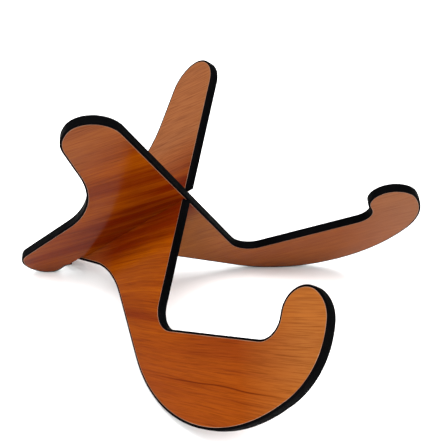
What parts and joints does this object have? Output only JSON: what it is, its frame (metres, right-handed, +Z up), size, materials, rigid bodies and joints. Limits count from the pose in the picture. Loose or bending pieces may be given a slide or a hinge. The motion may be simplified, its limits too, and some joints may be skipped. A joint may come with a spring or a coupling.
{
  "type": "x-frame guitar floor stand",
  "caption": "Free-standing guitar stand of two slotted wood-faced boards that cross in an X, with padded black rims, hooked front feet and rear feet.",
  "frame": {"origin": "on the floor, at the centre of the bounding box's underside", "axes": "+Z up; the open hooks face the front, -Y; +X to the right seen from the front"},
  "size_m": [0.3436, 0.3996, 0.2457],
  "materials": {
    "core": "raw sheet, hidden by the veneers and the edging except inside the slots",
    "veneer": "orange-brown wood grain running forwards along the crossing line, satin lacquer",
    "edging": "black fine-grained soft strip, low sheen"
  },
  "bodies": {
    "left_board": {"left_core": "core", "left_top_veneer": "veneer", "left_bottom_veneer": "veneer", "left_edging": "edging"},
    "right_board": {"right_core": "core", "right_top_veneer": "veneer", "right_bottom_veneer": "veneer", "right_edging": "edging"}
  },
  "joints": [
    {"name": "slot_slide", "type": "slide", "parent": "left_board", "child": "right_board", "axis": [0, -0.7704, 0.6376], "range_m": [0, 0.11]}
  ]
}
